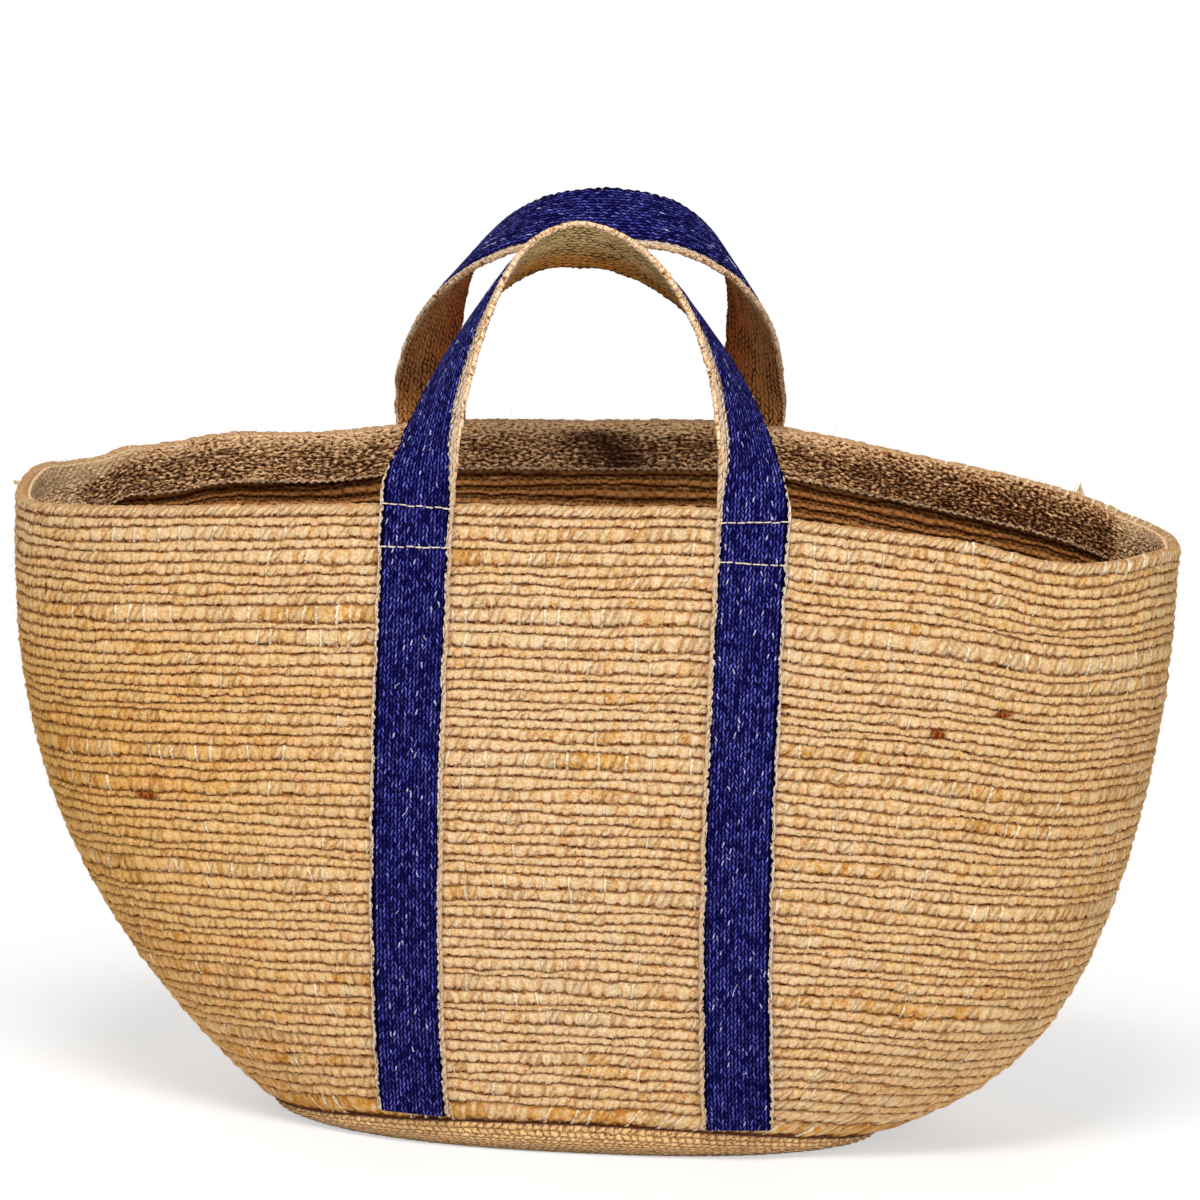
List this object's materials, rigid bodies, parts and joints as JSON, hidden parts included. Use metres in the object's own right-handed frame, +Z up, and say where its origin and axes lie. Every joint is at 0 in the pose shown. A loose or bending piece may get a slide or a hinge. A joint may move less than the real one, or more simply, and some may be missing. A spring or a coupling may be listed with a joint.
{
  "type": "shopping basket",
  "caption": "Oval jute rope shopping basket, flaring from a woven base to a wide open rim, with twin webbing carry handles faced in navy that fold in or out.",
  "frame": {"origin": "on the floor under the middle of the basket, at the middle of its overall width and depth", "axes": "+X to the right along the long side seen from the front, +Y to the back, +Z up"},
  "size_m": [0.58, 0.2706, 0.462],
  "materials": {
    "base_cloth": "coarse woven jute cloth, matt",
    "jute_rope": "twisted jute rope in sewn rows, matt and hairy",
    "jute_tape": "densely woven jute tape, matt",
    "jute_webbing": "natural jute webbing with cord edges, matt",
    "navy_webbing": "navy woven band with pale flecks, matt",
    "cream_thread": "cotton sewing thread"
  },
  "bodies": {
    "basket": {"base_panel": "base_cloth", "rope_wall": "jute_rope", "rim_rope": "jute_rope", "rim_facing": "jute_tape", "front_left_strap_leg": "jute_webbing", "front_left_navy_band": "navy_webbing", "front_left_rim_stitch": "cream_thread", "front_left_lower_stitch": "cream_thread", "front_right_strap_leg": "jute_webbing", "front_right_navy_band": "navy_webbing", "front_right_rim_stitch": "cream_thread", "front_right_lower_stitch": "cream_thread", "back_left_strap_leg": "jute_webbing", "back_left_navy_band": "navy_webbing", "back_left_rim_stitch": "cream_thread", "back_left_lower_stitch": "cream_thread", "back_right_strap_leg": "jute_webbing", "back_right_navy_band": "navy_webbing", "back_right_rim_stitch": "cream_thread", "back_right_lower_stitch": "cream_thread"},
    "front_handle": {"front_handle_webbing": "jute_webbing", "front_handle_navy_band": "navy_webbing"},
    "back_handle": {"back_handle_webbing": "jute_webbing", "back_handle_navy_band": "navy_webbing"}
  },
  "joints": [
    {"name": "front_handle_fold", "type": "hinge", "parent": "basket", "child": "front_handle", "pos_m": [0, -0.1354, 0.33025], "axis": [1, 0, 0], "range_deg": [-11, 172]},
    {"name": "back_handle_fold", "type": "hinge", "parent": "basket", "child": "back_handle", "pos_m": [0, 0.1354, 0.33025], "axis": [-1, 0, 0], "range_deg": [-11, 172]}
  ]
}
